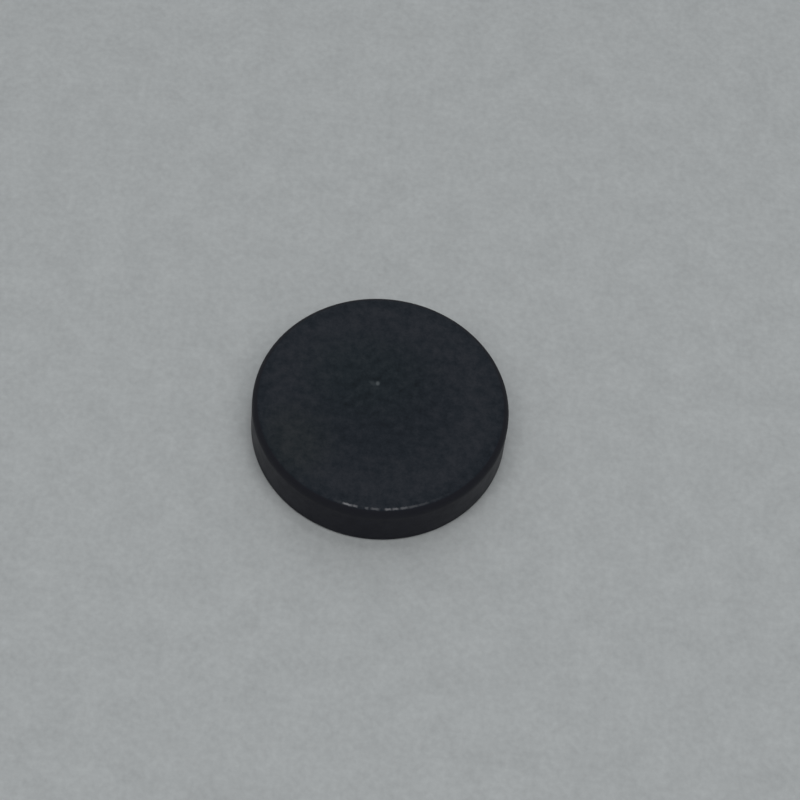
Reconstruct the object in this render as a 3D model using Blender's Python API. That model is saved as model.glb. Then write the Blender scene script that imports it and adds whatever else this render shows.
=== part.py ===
"""A weighted dealer button: a plain black disc that marks the dealer's seat at a card table.

A moulded cover makes the top face and the whole side wall. It is closed from below by a base
plate that snaps into a groove in its bore. A steel slug inside gives the button its weight. Six
ribs centre the slug, and a foam pad on each side keeps it from rattling. A blank inlay lies in a
recess under the base plate.

The origin is on the axis at the underside of the rim. +Z is the axis, pointing up.
"""

import math

import bmesh
import bpy
from mathutils import Matrix

MM = 0.001
CLEARANCE = 0.3 * MM  # between every two pieces that meet

# Driving dimensions of the outside.
RADIUS = 25.0 * MM
HEIGHT = 10.0 * MM
TOP_EDGE_RADIUS = 1.6 * MM
BOTTOM_EDGE_RADIUS = 0.75 * MM

# The cover's walls and the step that the base plate seats against.
TOP_WALL = 1.8 * MM
RIM_WALL = 2.0 * MM
STEP_DEPTH = 0.7 * MM
LEAD_IN = 0.3 * MM

# The base plate, and the snap bead that its edge carries.
BASE_LIFT = 0.15 * MM  # the rim stands below the plate, so the button doesn't rock
BASE_THICKNESS = 2.2 * MM
BEAD_DEPTH = 0.55 * MM
BEAD_HALF_HEIGHT = 0.5 * MM
RECESS_RADIUS = 18.0 * MM
RECESS_DEPTH = 0.8 * MM

# What lies inside and underneath.
SLUG_RADIUS = 20.0 * MM
SLUG_CHAMFER = 0.4 * MM
PAD_RADIUS = 18.5 * MM
PAD_THICKNESS = 0.8 * MM
INLAY_THICKNESS = 0.35 * MM

# Ribs inside the cover that centre the slug.
RIB_COUNT = 6
RIB_THICKNESS = 1.2 * MM
RIB_ROOT = 0.5 * MM  # how far a rib runs into the walls that carry it

# Facets around each turned piece.
OUTER_STEPS = 96
INNER_STEPS = 64
EDGE_STEPS = 5
SHARP_ANGLE = math.radians(32)

# Heights. The slug fills what the pads and the clearances leave of the cavity.
base_top = BASE_LIFT + BASE_THICKNESS
step_height = base_top + CLEARANCE
ceiling = HEIGHT - TOP_WALL
lower_pad_bottom = base_top + CLEARANCE
upper_pad_bottom = ceiling - CLEARANCE - PAD_THICKNESS
slug_bottom = lower_pad_bottom + PAD_THICKNESS + CLEARANCE
slug_thickness = upper_pad_bottom - CLEARANCE - slug_bottom
recess_ceiling = BASE_LIFT + RECESS_DEPTH
inlay_bottom = recess_ceiling - CLEARANCE - INLAY_THICKNESS
bead_height = BASE_LIFT + BASE_THICKNESS / 2

# Radii, from the rim inwards.
bore_radius = RADIUS - RIM_WALL
cavity_radius = bore_radius - STEP_DEPTH
plate_radius = bore_radius - CLEARANCE
bead_radius = plate_radius + BEAD_DEPTH
groove_radius = bead_radius + CLEARANCE


def clear_scene():
    for thing in list(bpy.data.objects):
        bpy.data.objects.remove(thing)


def make_material(name, colour, roughness, metallic=0.0):
    material = bpy.data.materials.new(name)
    material.use_nodes = True
    shader = material.node_tree.nodes["Principled BSDF"]
    shader.inputs["Base Color"].default_value = (*colour, 1.0)
    shader.inputs["Roughness"].default_value = roughness
    shader.inputs["Metallic"].default_value = metallic
    return material


def arc(centre, radius, start, end, steps=EDGE_STEPS):
    """Points (r, z) from angle start to angle end, in degrees from the +r axis towards +z."""
    angles = [math.radians(start + (end - start) * i / steps) for i in range(steps + 1)]
    return [(centre[0] + radius * math.cos(a), centre[1] + radius * math.sin(a)) for a in angles]


def link(name, mesh, material):
    mesh.materials.append(material)
    thing = bpy.data.objects.new(name, mesh)
    bpy.context.scene.collection.objects.link(thing)
    return thing


def turned(name, outline, steps, material):
    """Spins an outline of (r, z) points, running from the axis at the top to the axis below."""
    shape = bmesh.new()
    points = [shape.verts.new((r, 0.0, z)) for r, z in outline]
    edges = [shape.edges.new(pair) for pair in zip(points, points[1:])]
    bmesh.ops.spin(
        shape,
        geom=points + edges,
        cent=(0.0, 0.0, 0.0),
        axis=(0.0, 0.0, 1.0),
        angle=math.tau,
        steps=steps,
        use_merge=True,
    )
    bmesh.ops.remove_doubles(shape, verts=shape.verts, dist=0.001 * MM)
    bmesh.ops.recalc_face_normals(shape, faces=shape.faces)
    mesh = bpy.data.meshes.new(name)
    shape.to_mesh(mesh)
    shape.free()
    mesh.shade_smooth()
    mesh.set_sharp_from_angle(angle=SHARP_ANGLE)
    return link(name, mesh, material)


def disc(name, radius, bottom, thickness, chamfer, material):
    """A flat disc with both edges chamfered."""
    top = bottom + thickness
    outline = [
        (0.0, top),
        (radius - chamfer, top),
        (radius, top - chamfer),
        (radius, bottom + chamfer),
        (radius - chamfer, bottom),
        (0.0, bottom),
    ]
    return turned(name, outline, INNER_STEPS, material)


def rib_blanks(material):
    """Boxes for the ribs, each reaching RIB_ROOT into the cavity's wall and its ceiling."""
    inner = SLUG_RADIUS + CLEARANCE
    outer = cavity_radius + RIB_ROOT
    low = slug_bottom
    high = ceiling + RIB_ROOT
    shape = bmesh.new()
    for i in range(RIB_COUNT):
        box = bmesh.ops.create_cube(shape, size=1.0)["verts"]
        bmesh.ops.scale(shape, verts=box, vec=(outer - inner, RIB_THICKNESS, high - low))
        bmesh.ops.translate(shape, verts=box, vec=((inner + outer) / 2, 0.0, (low + high) / 2))
        # The half step keeps a rib's faces off the cover's own facet edges.
        turn = Matrix.Rotation(math.tau * (i + 0.5) / RIB_COUNT, 3, "Z")
        bmesh.ops.rotate(shape, verts=box, cent=(0.0, 0.0, 0.0), matrix=turn)
    mesh = bpy.data.meshes.new("rib_blanks")
    shape.to_mesh(mesh)
    shape.free()
    blanks = link("rib_blanks", mesh, material)
    blanks.hide_render = True
    blanks.display_type = "WIRE"
    return blanks


def make_cover(material):
    """The top face, side wall and bore in one turned shell, with the ribs joined on inside."""
    outline = [(0.0, HEIGHT)]
    outline += arc((RADIUS - TOP_EDGE_RADIUS, HEIGHT - TOP_EDGE_RADIUS), TOP_EDGE_RADIUS, 90, 0)
    outline += arc((RADIUS - BOTTOM_EDGE_RADIUS, BOTTOM_EDGE_RADIUS), BOTTOM_EDGE_RADIUS, 0, -90)
    outline += [(bore_radius + LEAD_IN, 0.0), (bore_radius, LEAD_IN)]
    outline += groove()
    outline += [
        (bore_radius, step_height),
        (cavity_radius, step_height),
        (cavity_radius, ceiling),
        (0.0, ceiling),
    ]
    cover = turned("cover", outline, OUTER_STEPS, material)
    ribs = cover.modifiers.new("ribs", "BOOLEAN")
    ribs.operation = "UNION"
    ribs.object = rib_blanks(material)
    return cover


def groove():
    """The bore's snap groove, going up: a V with a blunt root, clear of the bead all round."""
    mouth = BEAD_HALF_HEIGHT + CLEARANCE
    root = mouth - BEAD_DEPTH
    return [
        (bore_radius, bead_height - mouth),
        (groove_radius, bead_height - root),
        (groove_radius, bead_height + root),
        (bore_radius, bead_height + mouth),
    ]


def make_base_plate(material):
    """The closing plate, with the snap bead round its edge and the inlay's recess below."""
    tip = BEAD_HALF_HEIGHT / 4
    outline = [
        (0.0, base_top),
        (plate_radius - LEAD_IN, base_top),
        (plate_radius, base_top - LEAD_IN),
        (plate_radius, bead_height + BEAD_HALF_HEIGHT),
        (bead_radius, bead_height + tip),
        (bead_radius, bead_height - tip),
        (plate_radius, bead_height - BEAD_HALF_HEIGHT),
        (plate_radius, BASE_LIFT + LEAD_IN),
        (plate_radius - LEAD_IN, BASE_LIFT),
        (RECESS_RADIUS, BASE_LIFT),
        (RECESS_RADIUS, recess_ceiling),
        (0.0, recess_ceiling),
    ]
    return turned("base_plate", outline, OUTER_STEPS, material)


def make_contents(steel, foam, film):
    disc("weight_slug", SLUG_RADIUS, slug_bottom, slug_thickness, SLUG_CHAMFER, steel)
    pad_chamfer = PAD_THICKNESS / 8
    disc("upper_foam_pad", PAD_RADIUS, upper_pad_bottom, PAD_THICKNESS, pad_chamfer, foam)
    disc("lower_foam_pad", PAD_RADIUS, lower_pad_bottom, PAD_THICKNESS, pad_chamfer, foam)
    inlay_radius = RECESS_RADIUS - CLEARANCE
    disc("underside_inlay", inlay_radius, inlay_bottom, INLAY_THICKNESS, INLAY_THICKNESS / 5, film)


def main():
    clear_scene()
    make_cover(make_material("cover_plastic", (0.016, 0.019, 0.023), 0.55))
    make_base_plate(make_material("base_plastic", (0.013, 0.014, 0.017), 0.5))
    make_contents(
        steel=make_material("slug_steel", (0.42, 0.42, 0.43), 0.35, metallic=1.0),
        foam=make_material("foam", (0.09, 0.09, 0.1), 0.95),
        film=make_material("inlay_film", (0.02, 0.021, 0.024), 0.45),
    )


main()
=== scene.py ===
"""The looks of a plain black dealer button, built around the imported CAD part.

Metres throughout, +Z up. The origin is on the disc's axis, in the plane that it rests on.
"""

import math

import bpy
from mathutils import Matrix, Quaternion, Vector, noise


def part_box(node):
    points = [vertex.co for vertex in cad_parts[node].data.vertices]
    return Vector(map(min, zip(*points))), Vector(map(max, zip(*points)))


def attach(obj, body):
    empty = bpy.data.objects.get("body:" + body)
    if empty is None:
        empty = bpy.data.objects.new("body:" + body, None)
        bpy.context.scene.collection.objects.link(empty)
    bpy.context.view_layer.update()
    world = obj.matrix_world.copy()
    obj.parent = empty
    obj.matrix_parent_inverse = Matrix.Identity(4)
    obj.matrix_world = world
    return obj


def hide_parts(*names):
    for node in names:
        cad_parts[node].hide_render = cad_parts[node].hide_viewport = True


MM = 0.001

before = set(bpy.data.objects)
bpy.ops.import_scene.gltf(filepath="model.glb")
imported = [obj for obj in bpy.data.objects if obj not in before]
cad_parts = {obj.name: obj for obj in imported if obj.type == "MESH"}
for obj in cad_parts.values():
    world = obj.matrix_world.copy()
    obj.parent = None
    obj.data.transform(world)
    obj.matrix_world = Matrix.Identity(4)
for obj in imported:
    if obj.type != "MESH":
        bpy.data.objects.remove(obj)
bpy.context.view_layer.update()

# ---------------------------------------------------------------- sizes, from the frame

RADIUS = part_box("cover")[1].x
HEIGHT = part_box("cover")[1].z
PLATE_LOW, PLATE_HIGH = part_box("base_plate")
SLUG_LOW, SLUG_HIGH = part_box("weight_slug")
INLAY_LOW, INLAY_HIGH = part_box("underside_inlay")
CLEARANCE = 0.3 * MM  # between every two pieces that meet

# The shape of the cover beyond what its box says.
TOP_EDGE_RADIUS = 1.6 * MM
BOTTOM_EDGE_RADIUS = 0.75 * MM
FACE_RADIUS = RADIUS - TOP_EDGE_RADIUS
WALL_TOP = HEIGHT - TOP_EDGE_RADIUS
BORE_RADIUS = RADIUS - 2.0 * MM
CAVITY_RADIUS = BORE_RADIUS - 0.7 * MM
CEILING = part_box("upper_foam_pad")[1].z + CLEARANCE
STEP_HEIGHT = PLATE_HIGH.z + CLEARANCE
LEAD_IN = 0.3 * MM
RIB_COUNT = 6
RIB_HALF_WIDTH = 0.6 * MM
RIB_RADIUS = SLUG_HIGH.x + CLEARANCE

# The snap bead round the base plate, and the cover's groove for it.
BEAD_HEIGHT = (PLATE_LOW.z + PLATE_HIGH.z) / 2
BEAD_DEPTH = 0.55 * MM
BEAD_HALF_HEIGHT = 0.5 * MM
BEAD_TIP = 0.12 * MM
GROOVE_RADIUS = PLATE_HIGH.x + CLEARANCE

# How far the cover's surface strays inwards on average, and how much more its top edge does.
UNEVENNESS = 0.004 * MM
EDGE_UNEVENNESS = 0.0015 * MM

# The top edge has small dents too, where another noise, from -1 to 1, is above the threshold. The
# depth is for each whole unit above it.
DENT_THRESHOLD = 0.55
DENT_DEPTH = 0.05 * MM

# A nick on the top, left by something sharp that then skidded a little way.
NICK = Vector((-1.1, 4.33)) * MM
NICK_RADIUS = 0.48 * MM
NICK_DEPTH = 0.06 * MM
SKID_MIDDLE = Vector((-2.02, 4.22)) * MM
SKID_HALF = Vector((1.1, 0.7)) * MM
SKID_SLOPE = 0.4  # how steeply it leans down to +X
SKID_DEPTH = 0.008 * MM

# Broad patches of the top, polished by hands: the middle, the half width and depth, and the tint.
POLISHED = [
    (Vector((-3.5, 6.0)) * MM, 17 * MM, 13 * MM, (0.95, 1.055, 0.99)),
    (Vector((-16.0, -11.0)) * MM, 11 * MM, 12 * MM, (1.03, 1.05, 0.94)),
]

# Small shiny flats where the top edge is rubbed: the azimuth and the half length in degrees, and
# how worn. All lean outwards by RUB_TILT. Each is fully worn out to RUB_INNER of its half length,
# and fades out at RUB_OUTER of it.
RUB_TILT = math.radians(8.5)
RUB_DEPTH = 0.020 * MM
RUB_INNER = 0.4
RUB_OUTER = 1.3
RUB_RADIUS = FACE_RADIUS + TOP_EDGE_RADIUS * math.sin(RUB_TILT)
# The cover's material also paints each flat pale by how worn it is, a painted glint.
RUBS = [
    (-104.6, 2.2, 0.12),
    (-100.1, 2.5, 1.3),
    (-96.6, 1.3, 0.85),
    (-91.2, 0.9, 0.55),
    (-87.3, 2.1, 0.55),
    (-81.3, 1.6, 0.9),
    (-77.9, 1.6, 0.82),
    (-73.9, 2.0, 0.66),
    (-69.5, 2.6, 0.42),
    (-64.8, 3.0, 0.26),
    (-58.2, 4.0, 0.07),
    (-50.5, 4.5, 0.03),
]

# Facets. A grid of FACE_CELLS squares a side, rounded into a disc, has 4 * FACE_CELLS rim points.
FACE_CELLS = 180
COVER_STEPS = 4 * FACE_CELLS
EDGE_STEPS = 28
PLATE_STEPS = 256
FLOOR_STEPS = 96

FLOOR_RADIUS = 0.6
BACKDROP_RADIUS = 0.14
LAMP_DISTANCE = 2.5
CAMERA_DISTANCE = 20.5 * RADIUS


# ---------------------------------------------------------------- mesh building


def arc(centre, radius, start, end, steps):
    """Points (r, z) from angle start to angle end, in degrees from the +r axis towards +z."""
    angles = [math.radians(start + (end - start) * i / steps) for i in range(steps + 1)]
    return [(centre[0] + radius * math.cos(a), centre[1] + radius * math.sin(a)) for a in angles]


def run(start, end, steps):
    """Points on a straight line, without its start."""
    return [
        (start[0] + (end[0] - start[0]) * i / steps, start[1] + (end[1] - start[1]) * i / steps)
        for i in range(1, steps + 1)
    ]


def add_object(name, points, faces, sharp_degrees):
    mesh = bpy.data.meshes.new(name)
    mesh.from_pydata(points, [], faces)
    mesh.validate()
    mesh.shade_smooth()
    mesh.set_sharp_from_angle(angle=math.radians(sharp_degrees))
    piece = bpy.data.objects.new(name, mesh)
    bpy.context.scene.collection.objects.link(piece)
    return piece


def plain(r, z, angle):
    return (r * math.cos(angle), r * math.sin(angle), z)


def band(upper, lower):
    """Faces between two rings that run anticlockwise seen from above, the outer side facing out."""
    faces = []
    for i in range(len(upper)):
        j = (i + 1) % len(upper)
        corners = [upper[i], lower[i], lower[j], upper[j]]
        faces.append(tuple(dict.fromkeys(corners)))
    return faces


def pole(points, z, steps):
    """Adds a point on the axis, and returns it as a ring."""
    points.append((0.0, 0.0, z))
    return [len(points) - 1] * steps


def sweep(points, faces, ring, outline, shape=plain):
    """Spins the outline on from a ring of points. shape(r, z, angle) gives each new point."""
    steps = len(ring)
    for r, z in outline:
        above = ring
        ring = list(range(len(points), len(points) + steps))
        points += [shape(r, z, math.tau * i / steps) for i in range(steps)]
        faces += band(above, ring)
    return ring


def turned(outline, steps):
    """Spins an outline that starts and ends on the axis."""
    points, faces = [], []
    ring = sweep(points, faces, pole(points, outline[0][1], steps), outline[1:-1])
    faces += band(ring, pole(points, outline[-1][1], steps))
    return points, faces


# ---------------------------------------------------------------- the cover


def unevenness(x, y, z, size, seed):
    """Smooth noise from -1 to 1 with features about this size."""
    return noise.noise(Vector((x + seed, y, z)) / size)


def face_height(x, y):
    """The top face: very slightly uneven, with the nick and the skid mark beside it."""
    height = HEIGHT - UNEVENNESS * (1 + unevenness(x, y, 0.0, size=5 * MM, seed=0.3))
    nick = (Vector((x, y)) - NICK).length / NICK_RADIUS
    height -= NICK_DEPTH * max(0.0, 1 - nick**2)
    along, across = Vector((x, y)) - SKID_MIDDLE
    across += SKID_SLOPE * along
    skid = (along / SKID_HALF.x) ** 2 + (across / SKID_HALF.y) ** 2
    height -= SKID_DEPTH * max(0.0, 1 - skid)
    return height


def square_ring(k):
    """The grid cells at distance k from the middle, anticlockwise from (k, 0)."""
    right = [(k, j) for j in range(-k, k)]
    top = [(i, k) for i in range(k, -k, -1)]
    left = [(-k, j) for j in range(k, -k, -1)]
    bottom = [(i, -k) for i in range(-k, k)]
    ring = right + top + left + bottom
    start = ring.index((k, 0))
    return ring[start:] + ring[:start]


def face_grid(points, faces):
    """A square grid rounded into a disc, its rings running anticlockwise. Returns its rim."""
    half = FACE_CELLS // 2
    index = {(0, 0): len(points)}
    points.append((0.0, 0.0, face_height(0.0, 0.0)))
    for k in range(1, half + 1):
        for step, cell in enumerate(square_ring(k)):
            x, y, _ = plain(FACE_RADIUS * k / half, 0.0, math.tau * step / (8 * k))
            index[cell] = len(points)
            points.append((x, y, face_height(x, y)))
    for i in range(-half, half):
        for j in range(-half, half):
            faces.append((index[i, j], index[i + 1, j], index[i + 1, j + 1], index[i, j + 1]))
    return [index[cell] for cell in square_ring(half)]


def cover_outline():
    """From the rim of the flat top, down the wall, round the foot and up inside to the ceiling."""
    foot = (RADIUS - BOTTOM_EDGE_RADIUS, BOTTOM_EDGE_RADIUS)
    mouth = BEAD_HALF_HEIGHT + CLEARANCE
    root = mouth - BEAD_DEPTH
    return [
        *arc((FACE_RADIUS, WALL_TOP), TOP_EDGE_RADIUS, 90, 0, EDGE_STEPS)[1:],
        *run((RADIUS, WALL_TOP), (RADIUS, BOTTOM_EDGE_RADIUS), 20),
        *arc(foot, BOTTOM_EDGE_RADIUS, 0, -90, 9)[1:],
        *run((foot[0], 0.0), (BORE_RADIUS + LEAD_IN, 0.0), 2),
        *run((BORE_RADIUS + LEAD_IN, 0.0), (BORE_RADIUS, LEAD_IN), 2),
        (BORE_RADIUS, BEAD_HEIGHT - mouth),
        (GROOVE_RADIUS, BEAD_HEIGHT - root),
        (GROOVE_RADIUS, BEAD_HEIGHT + root),
        (BORE_RADIUS, BEAD_HEIGHT + mouth),
        (BORE_RADIUS, STEP_HEIGHT),
        (CAVITY_RADIUS, STEP_HEIGHT),
        (CAVITY_RADIUS, SLUG_LOW.z),
        (CAVITY_RADIUS, SLUG_LOW.z + 0.2 * MM),
        (CAVITY_RADIUS, CEILING),
    ]


def worn_flat(r, z, angle):
    """Moves a point of the top edge back to the flat that rubbing has left at this azimuth."""
    worn = 0.0
    for middle, half, shine in RUBS:
        away = abs(math.degrees(angle) - 360 - middle)
        inside = (RUB_OUTER * half - away) / ((RUB_OUTER - RUB_INNER) * half)
        worn = max(worn, shine * min(1.0, max(0.0, inside)))
    out, up = math.sin(RUB_TILT), math.cos(RUB_TILT)
    proud = (r - FACE_RADIUS) * out + (z - WALL_TOP) * up - (TOP_EDGE_RADIUS - RUB_DEPTH * worn)
    proud = max(0.0, proud)
    return r - proud * out, z - proud * up


def cover_point(r, z, angle):
    """Ribs stand inwards from the cavity's wall. The outside is slightly uneven and dented."""
    if r == CAVITY_RADIUS and z > SLUG_LOW.z:
        pitch = math.tau / RIB_COUNT
        off = abs((angle % pitch) - pitch / 2) * r
        return plain(RIB_RADIUS if off < RIB_HALF_WIDTH else r, z, angle)
    inside = r < RADIUS - 0.01 * MM and z < WALL_TOP
    if inside or z < BOTTOM_EDGE_RADIUS:
        return plain(r, z, angle)
    height = max(0.0, z - WALL_TOP)
    reach = RADIUS if z < WALL_TOP else max(0.0, r - FACE_RADIUS)
    outwards = Vector(plain(reach, height, angle)).normalized()
    x, y, z = plain(*worn_flat(r, z, angle), angle)
    turned_up = height / TOP_EDGE_RADIUS  # 0 at the top of the wall, 1 at the rim of the face
    on_edge = max(0.0, min(1.0, 4 * turned_up, 8 * (1 - turned_up)))
    depth = UNEVENNESS * (1 + unevenness(x, y, z, size=6 * MM, seed=1.7))
    depth += on_edge * EDGE_UNEVENNESS * (1 + unevenness(x, y, z, size=1.5 * MM, seed=2.9))
    dent = max(0.0, unevenness(x, y, z, size=0.9 * MM, seed=4.1) - DENT_THRESHOLD)
    depth += on_edge * DENT_DEPTH * dent
    return tuple(Vector((x, y, z)) - outwards * depth)


def make_cover():
    points, faces = [], []
    rim = face_grid(points, faces)
    ring = sweep(points, faces, rim, cover_outline(), cover_point)
    faces += band(ring, pole(points, CEILING, COVER_STEPS))
    return add_object("cover_shell", points, faces, 40)


# ---------------------------------------------------------------- the underside


def make_base_plate():
    radius = PLATE_HIGH.x - BEAD_DEPTH
    low, high = PLATE_LOW.z, PLATE_HIGH.z
    recess = INLAY_HIGH.x + CLEARANCE
    roof = INLAY_HIGH.z + CLEARANCE
    corner = 0.25 * MM
    lip = 0.1 * MM
    outline = [(0.0, high)]
    outline += arc((radius - corner, high - corner), corner, 90, 0, 5)
    outline += [(radius, BEAD_HEIGHT + BEAD_HALF_HEIGHT)]
    outline += arc((PLATE_HIGH.x - BEAD_TIP, BEAD_HEIGHT), BEAD_TIP, 60, -60, 6)
    outline += [(radius, BEAD_HEIGHT - BEAD_HALF_HEIGHT)]
    outline += arc((radius - corner, low + corner), corner, 0, -90, 5)
    outline += run((radius - corner, low), (recess + lip, low), 6)
    outline += arc((recess + lip, low + lip), lip, 270, 180, 4)[1:]
    outline += [(recess, roof), (0.0, roof)]
    points, faces = turned(outline, PLATE_STEPS)
    return add_object("base_shell", points, faces, 40)


def make_inlay():
    low, high = INLAY_LOW.z, INLAY_HIGH.z
    corner = 0.06 * MM
    outline = [(0.0, high)]
    outline += arc((INLAY_HIGH.x - corner, high - corner), corner, 90, 0, 3)
    outline += arc((INLAY_HIGH.x - corner, low + corner), corner, 0, -90, 3)
    outline += [(0.0, low)]
    points, faces = turned(outline, PLATE_STEPS)
    return add_object("inlay_film", points, faces, 60)


# ---------------------------------------------------------------- materials


class Graph:
    """Short-hand for a node tree. Most methods add a node and return its output socket."""

    def __init__(self, tree):
        self.tree = tree
        tree.nodes.clear()

    def add(self, kind, inputs=(), output=0, **settings):
        node = self.tree.nodes.new(kind)
        for key, value in settings.items():
            setattr(node, key, value)
        for key, value in dict(inputs).items():
            if isinstance(value, bpy.types.NodeSocket):
                self.tree.links.new(value, node.inputs[key])
            else:
                node.inputs[key].default_value = value
        return node.outputs[output]

    def math(self, operation, a, b=0.0):
        return self.add("ShaderNodeMath", {0: a, 1: b}, operation=operation)

    def noise(self, at, size, detail=3.0, roughness=0.55):
        """Noise from 0 to 1, with features of about this size in metres."""
        inputs = {"Vector": at, "Scale": 1 / size, "Detail": detail, "Roughness": roughness}
        return self.add("ShaderNodeTexNoise", inputs)

    def between(self, value, low, high, out_low=0.0, out_high=1.0):
        """Maps low..high to out_low..out_high smoothly, and holds the ends."""
        inputs = {"Value": value, 1: low, 2: high, 3: out_low, 4: out_high}
        return self.add("ShaderNodeMapRange", inputs, interpolation_type="SMOOTHSTEP")

    def ramp(self, value, stops):
        node = self.tree.nodes.new("ShaderNodeValToRGB")
        self.tree.links.new(value, node.inputs[0])
        ramp = node.color_ramp
        while len(ramp.elements) < len(stops):
            ramp.elements.new(0.5)
        for element, (place, colour) in zip(ramp.elements, stops):
            element.position = place
            element.color = (*colour, 1.0)
        return node.outputs["Color"]

    def blend(self, factor, a, b):
        """Mixes two colours."""
        return self.add("ShaderNodeMix", {"Factor": factor, 6: a, 7: b}, output=2, data_type="RGBA")

    def mix(self, factor, a, b):
        """Mixes two numbers."""
        return self.add("ShaderNodeMix", {0: factor, 2: a, 3: b})

    def bump(self, height, depth, normal=None):
        inputs = {"Height": height, "Distance": depth, "Strength": 1.0}
        if normal is not None:
            inputs["Normal"] = normal
        return self.add("ShaderNodeBump", inputs)

    def surface(self, **inputs):
        """Finishes a material with one Principled BSDF."""
        named = {name.replace("_", " "): value for name, value in inputs.items()}
        self.add_output("ShaderNodeOutputMaterial", self.add("ShaderNodeBsdfPrincipled", named))

    def add_output(self, kind, socket):
        """Links a shader to a new output node, which ends the tree."""
        node = self.tree.nodes.new(kind)
        self.tree.links.new(socket, node.inputs["Surface"])


def new_material(name):
    material = bpy.data.materials.new(name)
    material.use_nodes = True
    return material, Graph(material.node_tree)


def polar(g):
    """Object coordinates, the azimuth in degrees, the distance from the axis, and x, y, z."""
    at = g.add("ShaderNodeTexCoord", output=3)
    x, y, z = (g.add("ShaderNodeSeparateXYZ", {0: at}, output=i) for i in range(3))
    azimuth = g.math("DEGREES", g.math("ARCTAN2", y, x))
    radius = g.math("SQRT", g.math("ADD", g.math("MULTIPLY", x, x), g.math("MULTIPLY", y, y)))
    return at, azimuth, radius, (x, y, z)


def oval(g, x, y, centre, half_x, half_y, slope=0.0):
    """1 at the centre of an oval spot, falling to 0 at its rim. The slope leans it down to +X."""
    along = g.math("SUBTRACT", x, centre.x)
    across = g.math("SUBTRACT", y, centre.y)
    across = g.math("ADD", across, g.math("MULTIPLY", along, slope))
    dx = g.math("DIVIDE", along, half_x)
    dy = g.math("DIVIDE", across, half_y)
    away = g.math("SQRT", g.math("ADD", g.math("MULTIPLY", dx, dx), g.math("MULTIPLY", dy, dy)))
    return g.between(away, 1.0, 0.2)


def rub_and_glint_mask(g, at, azimuth, radius):
    """1 in the middle of the edge's small worn flats, fading out around them. It places both their
    real shine and their painted glint.
    """
    off_line = g.math("ABSOLUTE", g.math("SUBTRACT", radius, RUB_RADIUS))
    width = g.between(g.noise(at, 0.5 * MM, detail=2.0), 0.3, 0.7, 0.24 * MM, 0.40 * MM)
    on_line = g.between(g.math("DIVIDE", off_line, width), 1.0, 0.3)
    mask = 0.0
    for middle, half, shine in RUBS:
        away = g.math("ABSOLUTE", g.math("SUBTRACT", azimuth, middle))
        worn = g.between(away, RUB_OUTER * half, RUB_INNER * half, 0.0, shine)
        mask = g.math("MAXIMUM", mask, worn)
    return g.math("MULTIPLY", on_line, mask)


def cover_material():
    """Moulded black plastic: a cloudy matt top with painted shade round its rim, a plainer wall, and
    an edge rubbed in places, its worn flats painted pale as a painted glint.
    """
    material, g = new_material("moulded_cover")
    at, azimuth, radius, (x, y, z) = polar(g)
    on_wall = g.between(z, WALL_TOP + 0.35 * MM, WALL_TOP - 0.9 * MM)

    # The top is lighter from 0.3 to 0.8 of the radius, and its outer rim is darkened with painted
    # shade.
    cloud = g.noise(at, 2.0 * MM, detail=7.0, roughness=0.75)
    lighter = g.between(radius, 0.30 * RADIUS, 0.80 * RADIUS, 0.0, 0.13)
    # painted shade: the top's outer rim is darkened
    painted_rim_shade = g.between(radius, 0.82 * RADIUS, 0.91 * RADIUS, 0.0, 0.08)
    tone = g.math("SUBTRACT", g.math("ADD", cloud, lighter), painted_rim_shade)
    top_colour_with_rim_shade = g.ramp(
        tone,
        [
            (0.30, (0.0085, 0.0117, 0.0166)),
            (0.50, (0.0177, 0.0238, 0.0324)),
            (0.74, (0.0344, 0.0387, 0.0485)),
        ],
    )
    # Two broad patches, faintly greener, where hands have polished it.
    for centre, half_x, half_y, tint in POLISHED:
        patch = oval(g, x, y, centre, half_x, half_y)
        tinted = g.add("ShaderNodeVectorMath", {0: top_colour_with_rim_shade, 1: tint}, operation="MULTIPLY")
        top_colour_with_rim_shade = g.blend(patch, top_colour_with_rim_shade, tinted)
    wall_colour = g.ramp(cloud, [(0.3, (0.0040, 0.0042, 0.0105)), (0.7, (0.0085, 0.0087, 0.0175))])
    past_edge = g.between(radius, RUB_RADIUS + 0.15 * MM, RUB_RADIUS + 0.5 * MM)
    colour = g.blend(past_edge, top_colour_with_rim_shade, (0.0190, 0.0198, 0.0260, 1.0))
    colour = g.blend(on_wall, colour, wall_colour)

    # The nick and its skid mark are painted a pale grey.
    nick_paleness = g.math(
        "MAXIMUM",
        oval(g, x, y, NICK, 1.2 * NICK_RADIUS, 1.45 * NICK_RADIUS),
        g.math("MULTIPLY", oval(g, x, y, SKID_MIDDLE, *SKID_HALF, SKID_SLOPE), 0.28),
    )
    colour = g.blend(nick_paleness, colour, (0.112, 0.130, 0.139, 1.0))

    # Only the top edge is rubbed, not the foot straight below it. The rubbed flats are painted pale: a
    # painted glint, added to their real low roughness.
    above_wall = g.math("SUBTRACT", 1.0, on_wall)
    rubbed = g.math("MULTIPLY", rub_and_glint_mask(g, at, azimuth, radius), above_wall)
    colour = g.blend(g.math("MULTIPLY", rubbed, 0.85), colour, (0.195, 0.198, 0.212, 1.0))
    top_roughness = g.between(cloud, 0.3, 0.7, 0.62, 0.54)
    wall_roughness = g.between(cloud, 0.3, 0.7, 0.50, 0.42)
    roughness = g.mix(on_wall, top_roughness, wall_roughness)
    roughness = g.mix(rubbed, roughness, 0.18)

    # Fine grain on the top, fading out towards the wall and where the edge is rubbed.
    smooth = g.math("MAXIMUM", on_wall, rubbed)
    grain = g.math("MULTIPLY", g.noise(at, 0.28 * MM, detail=2.0), g.math("SUBTRACT", 1.0, smooth))
    normal = g.bump(grain, 0.02 * MM)
    waves = g.math("MULTIPLY", g.noise(at, 1.1 * MM), g.math("SUBTRACT", 1.0, rubbed))
    normal = g.bump(waves, 0.01 * MM, normal)

    g.surface(Base_Color=colour, Roughness=roughness, Normal=normal, IOR=1.28)
    return material


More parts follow.
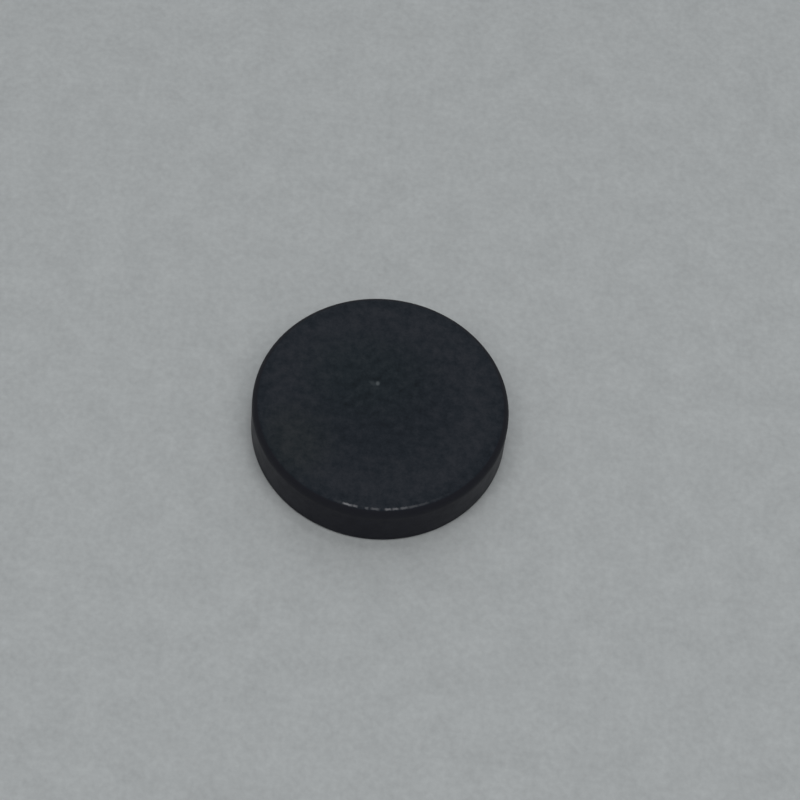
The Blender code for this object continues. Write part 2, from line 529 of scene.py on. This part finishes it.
def simple_plastic(name, dark, light, roughness):
    """Moulded plastic with a fine grain, scuffed in spots where tables have rubbed it."""
    material, g = new_material(name)
    at = g.add("ShaderNodeTexCoord", output=3)
    cloud = g.noise(at, 2.5 * MM, detail=4.0)
    colour = g.ramp(cloud, [(0.3, dark), (0.7, light)])
    rough = g.between(cloud, 0.3, 0.7, roughness + 0.06, roughness - 0.06)
    scuffs = g.between(g.noise(at, 1.6 * MM, detail=7.0, roughness=0.75), 0.55, 0.72)
    pale = [2.4 * channel for channel in light]
    colour = g.blend(g.math("MULTIPLY", scuffs, 0.6), colour, (*pale, 1.0))
    rough = g.mix(scuffs, rough, roughness + 0.2)
    normal = g.bump(g.noise(at, 0.3 * MM, detail=2.0), 0.02 * MM)
    g.surface(Base_Color=colour, Roughness=rough, Normal=normal, IOR=1.45)
    return material


def steel_material():
    """Steel faced on a lathe: fine rings, with a little bloom."""
    material, g = new_material("turned_steel")
    at, _, radius, _ = polar(g)
    line = g.add("ShaderNodeCombineXYZ", {0: radius})
    rings = g.noise(line, 0.25 * MM, detail=3.0)
    bloom = g.noise(at, 6 * MM, detail=4.0)
    colour = g.ramp(bloom, [(0.35, (0.36, 0.355, 0.35)), (0.65, (0.50, 0.50, 0.505))])
    rough = g.between(rings, 0.3, 0.7, 0.28, 0.42)
    g.surface(Base_Color=colour, Metallic=1.0, Roughness=rough, Normal=g.bump(rings, 0.015 * MM))
    return material


def foam_material():
    """Closed-cell foam: small round cells, each a dimple."""
    material, g = new_material("foam")
    at = g.add("ShaderNodeTexCoord", output=3)
    cells = g.add("ShaderNodeTexVoronoi", {"Vector": at, "Scale": 1 / (0.35 * MM)})
    tone = g.noise(at, 3 * MM)
    colour = g.ramp(tone, [(0.3, (0.075, 0.075, 0.08)), (0.7, (0.115, 0.115, 0.12))])
    rough = g.between(tone, 0.3, 0.7, 0.98, 0.88)
    g.surface(Base_Color=colour, Roughness=rough, Normal=g.bump(cells, 0.08 * MM))
    return material


def floor_material():
    """Pale grey card, very slightly fibrous."""
    material, g = new_material("pale_card")
    at = g.add("ShaderNodeTexCoord", output=3)
    cloud = g.noise(at, 7 * MM, detail=3.0, roughness=0.6)
    fibres = g.noise(at, 1.3 * MM, detail=4.0, roughness=0.55)
    tone = g.math("ADD", g.math("MULTIPLY", cloud, 0.42), g.math("MULTIPLY", fibres, 0.58))
    colour = g.ramp(tone, [(0.3, (0.577, 0.603, 0.606)), (0.7, (0.714, 0.746, 0.749))])
    g.surface(Base_Color=colour, Roughness=0.9, Normal=g.bump(fibres, 0.05 * MM), IOR=1.3)
    return material


# ---------------------------------------------------------------- stage, lights, camera


def make_floor(material):
    """A round floor, swept up at its rim into a low backdrop."""
    outline = run((0.0, 0.0), (FLOOR_RADIUS, 0.0), 30)
    outline += arc((FLOOR_RADIUS, BACKDROP_RADIUS), BACKDROP_RADIUS, 270, 360, 10)[1:]
    points, faces = [], []
    sweep(points, faces, pole(points, 0.0, FLOOR_STEPS), outline)
    floor = add_object("floor", points, faces, 60)
    floor.data.materials.append(material)
    return floor


def make_world():
    """A room that gets dimmer upwards, with a soft glow behind the disc, 46 degrees up."""
    world = bpy.data.worlds.new("studio")
    world.use_nodes = True
    bpy.context.scene.world = world
    g = Graph(world.node_tree)
    direction = g.add("ShaderNodeTexCoord", output=0)
    glow = Vector((0.0, 1.0, 1.05)).normalized()
    towards = g.add("ShaderNodeVectorMath", {0: direction, 1: glow}, output=1, operation="DOT_PRODUCT")
    sky = g.ramp(
        towards,
        [(0.60, (0.0, 0.0, 0.0)), (0.84, (0.12, 0.123, 0.127)), (1.0, (0.55, 0.56, 0.57))],
    )
    up = g.add("ShaderNodeSeparateXYZ", {0: direction}, output=2)
    room = g.ramp(
        up,
        [(0.1, (0.24, 0.242, 0.248)), (0.5, (0.14, 0.142, 0.146)), (0.85, (0.055, 0.057, 0.060))],
    )
    both = g.add("ShaderNodeVectorMath", {0: sky, 1: room}, operation="ADD")
    g.add_output("ShaderNodeOutputWorld", g.add("ShaderNodeBackground", {0: both, 1: 1.0}))


def make_lamp(name, backwards, sideways, half_width, half_depth, brightness, in_gloss):
    """An oval lamp facing the disc, LAMP_DISTANCE away. Angles are in degrees from straight up.

    brightness is what the lamp itself looks like, a white surface lit fully being 1.
    """
    lamp = bpy.data.lights.new(name, "AREA")
    lamp.shape = "ELLIPSE"
    lamp.size = 2 * LAMP_DISTANCE * math.tan(math.radians(half_width))
    lamp.size_y = 2 * LAMP_DISTANCE * math.tan(math.radians(half_depth))
    lamp.energy = brightness * math.pi * math.pi * lamp.size * lamp.size_y / 4
    thing = bpy.data.objects.new(name, lamp)
    tilt = Vector((math.tan(math.radians(sideways)), math.tan(math.radians(backwards)), 1.0))
    thing.location = tilt.normalized() * LAMP_DISTANCE
    thing.rotation_mode = "QUATERNION"
    thing.rotation_quaternion = thing.location.to_track_quat("Z", "Y")
    thing.visible_glossy = in_gloss
    bpy.context.scene.collection.objects.link(thing)


def make_camera():
    """Looks down at the disc from the front, rolled a little anticlockwise."""
    elevation = math.radians(58.2)
    roll = math.radians(7.13)
    aim_right, aim_up = 3.57 * MM, 0.95 * MM  # how far the view's middle is off the top's middle
    target = Vector((0.0, 0.0, HEIGHT))
    back = Vector((0.0, -math.cos(elevation), math.sin(elevation)))
    rightwards = Vector((1.0, 0.0, 0.0))
    upwards = back.cross(rightwards)
    place = target + back * CAMERA_DISTANCE
    aim = target + rightwards * aim_right + upwards * aim_up
    data = bpy.data.cameras.new("camera")
    data.lens = 119.0
    data.sensor_width = 36.0
    camera = bpy.data.objects.new("camera", data)
    camera.rotation_mode = "QUATERNION"
    facing = (place - aim).to_track_quat("Z", "Y")
    camera.rotation_quaternion = facing @ Quaternion((0.0, 0.0, 1.0), roll)
    camera.location = place
    bpy.context.scene.collection.objects.link(camera)
    bpy.context.scene.camera = camera


# ---------------------------------------------------------------- assembly


def place(piece, node, slot, material):
    piece.data.materials.append(material)
    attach(piece, "root")
    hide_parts(node)


def finish_cad_node(name, material):
    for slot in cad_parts[name].material_slots:
        slot.material = material


bpy.context.scene.view_settings.view_transform = "Standard"
make_camera()
place(make_cover(), "cover", "cover_plastic", cover_material())
base_black = simple_plastic(
    "moulded_base", dark=(0.0090, 0.0094, 0.0115), light=(0.0130, 0.0135, 0.0160), roughness=0.5
)
place(make_base_plate(), "base_plate", "base_plastic", base_black)
film_black = simple_plastic(
    "inlay_film", dark=(0.0150, 0.0155, 0.0180), light=(0.0200, 0.0205, 0.0230), roughness=0.4
)
place(make_inlay(), "underside_inlay", "inlay_film", film_black)
finish_cad_node("weight_slug", steel_material())
foam = foam_material()
finish_cad_node("upper_foam_pad", foam)
finish_cad_node("lower_foam_pad", foam)

make_floor(floor_material())
make_world()
make_lamp("ceiling", -19, 0, half_width=35, half_depth=17, brightness=1.76, in_gloss=False)
make_lamp("lamp", 12.2, 2.2, half_width=8.5, half_depth=5, brightness=3.8, in_gloss=True)
